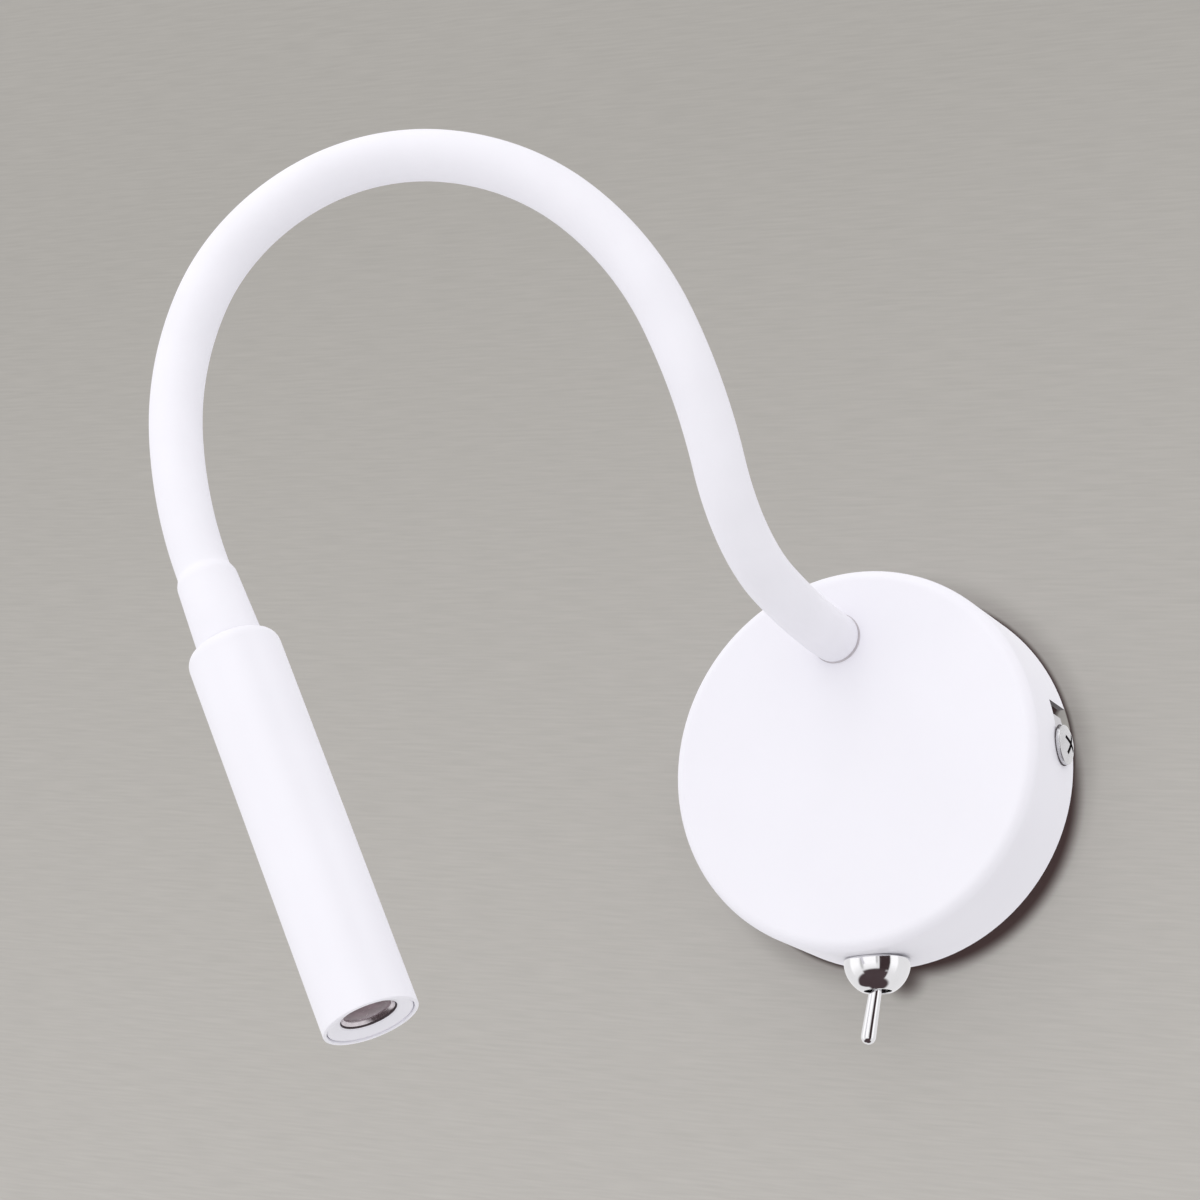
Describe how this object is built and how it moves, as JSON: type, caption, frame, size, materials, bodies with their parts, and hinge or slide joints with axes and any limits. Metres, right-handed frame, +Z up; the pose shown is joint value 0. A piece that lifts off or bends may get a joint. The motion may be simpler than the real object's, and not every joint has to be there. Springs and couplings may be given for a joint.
{
  "type": "wall_light",
  "caption": "White wall reading light: round canopy with a chrome toggle switch, a bendable sleeved arm and a slim tube head with a lens.",
  "frame": {"origin": "middle of the wall bracket's back, on the wall plane", "axes": "X to the right seen from the room, Y into the wall, Z up"},
  "size_m": [0.1797, 0.1698, 0.2334],
  "materials": {
    "white_coat": "smooth satin white powder coat on sheet steel",
    "white_head": "smooth satin white coat on turned aluminium",
    "white_silicone": "soft matte white silicone",
    "hose_steel": "wound steel hose",
    "white_lead": "matte white two-core lead",
    "zinc_sheet": "zinc-plated sheet steel",
    "screw_steel": "plated steel",
    "chrome": "polished chrome",
    "brass": "turned brass",
    "grey_rubber": "matte grey rubber",
    "grey_foam": "foam tape",
    "white_plastic": "matte white plastic",
    "black_plastic": "matte black plastic",
    "board_green": "green circuit board",
    "bare_aluminium": "turned bare aluminium",
    "white_board": "white aluminium-backed board",
    "chip_yellow": "yellow phosphor",
    "lens_clear": "clear polished acrylic",
    "wire_brown": "brown insulated wire",
    "wire_black": "black insulated wire"
  },
  "bodies": {
    "base": {"canopy": "white_coat", "wall_bracket": "zinc_sheet", "cable_grommet": "grey_rubber", "canopy_screws": "screw_steel", "earth_screw": "brass", "terminal_block": "white_plastic", "terminal_screws": "screw_steel", "supply_leads": "wire_brown", "driver_case": "white_plastic", "driver_lid": "white_plastic", "driver_board": "board_green", "driver_pad": "grey_foam", "switch_body": "black_plastic", "switch_bushing": "screw_steel", "switch_nut": "screw_steel", "switch_dome": "chrome", "switch_tabs": "screw_steel", "switch_leads": "wire_black", "arm_nipple": "brass", "arm_washer": "screw_steel", "arm_nut": "brass", "arm_sleeve_1": "white_silicone", "arm_hose_1": "hose_steel", "arm_lead_1": "white_lead"},
    "lever": {"switch_lever": "chrome"},
    "arm_length_2": {"arm_sleeve_2": "white_silicone", "arm_hose_2": "hose_steel", "arm_lead_2": "white_lead"},
    "arm_length_3": {"arm_sleeve_3": "white_silicone", "arm_hose_3": "hose_steel", "arm_lead_3": "white_lead"},
    "arm_length_4": {"arm_sleeve_4": "white_silicone", "arm_hose_4": "hose_steel", "arm_lead_4": "white_lead"},
    "arm_length_5": {"arm_sleeve_5": "white_silicone", "arm_hose_5": "hose_steel", "arm_lead_5": "white_lead"},
    "arm_length_6": {"arm_sleeve_6": "white_silicone", "arm_hose_6": "hose_steel", "arm_lead_6": "white_lead"},
    "arm_length_7": {"arm_sleeve_7": "white_silicone", "arm_hose_7": "hose_steel", "arm_lead_7": "white_lead"},
    "arm_length_8": {"arm_sleeve_8": "white_silicone", "arm_hose_8": "hose_steel", "arm_lead_8": "white_lead"},
    "head": {"arm_sleeve_9": "white_silicone", "arm_hose_9": "hose_steel", "arm_lead_9": "white_lead", "head_ferrule": "screw_steel", "ferrule_nut": "brass", "head_housing": "white_head", "heat_sink": "bare_aluminium", "led_board": "white_board", "led_chip": "chip_yellow", "board_screws": "screw_steel", "lens_holder": "white_plastic", "lens": "lens_clear", "bezel_ring": "white_head"}
  },
  "joints": [
    {"name": "arm_lift", "type": "hinge", "parent": "base", "child": "arm_length_2", "pos_m": [-0.00332, -0.0657, 0.03612], "axis": [-0.9996, 0.0113, -0.0274], "range_deg": [-35, 20]},
    {"name": "arm_swing", "type": "hinge", "parent": "arm_length_2", "child": "arm_length_3", "pos_m": [-0.00427, -0.09467, 0.05872], "axis": [-0.8794, 0.4369, 0.189], "range_deg": [-25, 25]},
    {"name": "arm_curl", "type": "hinge", "parent": "arm_length_3", "child": "arm_length_4", "pos_m": [-0.01129, -0.10834, 0.09326], "axis": [0.1427, -0.9628, -0.2295], "range_deg": [-25, 10]},
    {"name": "arm_sway", "type": "hinge", "parent": "arm_length_4", "child": "arm_length_5", "pos_m": [-0.03137, -0.11851, 0.12348], "axis": [-0.638, -0.1759, -0.7497], "range_deg": [-20, 20]},
    {"name": "arm_curl_upper", "type": "hinge", "parent": "arm_length_5", "child": "arm_length_6", "pos_m": [-0.06345, -0.12979, 0.13923], "axis": [0.3275, -0.9423, 0.069], "range_deg": [-25, 10]},
    {"name": "arm_sway_upper", "type": "hinge", "parent": "arm_length_6", "child": "arm_length_7", "pos_m": [-0.09763, -0.14224, 0.13144], "axis": [-0.5618, -0.0145, 0.8271], "range_deg": [-20, 20]},
    {"name": "neck_tilt", "type": "hinge", "parent": "arm_length_7", "child": "arm_length_8", "pos_m": [-0.11789, -0.15296, 0.1021], "axis": [0.4161, -0.9021, 0.1139], "range_deg": [-20, 25]},
    {"name": "neck_turn", "type": "hinge", "parent": "arm_length_8", "child": "head", "pos_m": [-0.11982, -0.15856, 0.06485], "axis": [0.9453, 0.3057, 0.1136], "range_deg": [-25, 25]},
    {"name": "switch_throw", "type": "hinge", "parent": "base", "child": "lever", "pos_m": [0, -0.0135, -0.0543], "axis": [0, 1, 0], "range_deg": [-22, 0]}
  ],
  "couplings": [
    {"joint": "arm_curl_upper", "follows": "arm_curl", "ratio": 1},
    {"joint": "arm_sway_upper", "follows": "arm_sway", "ratio": 1}
  ]
}
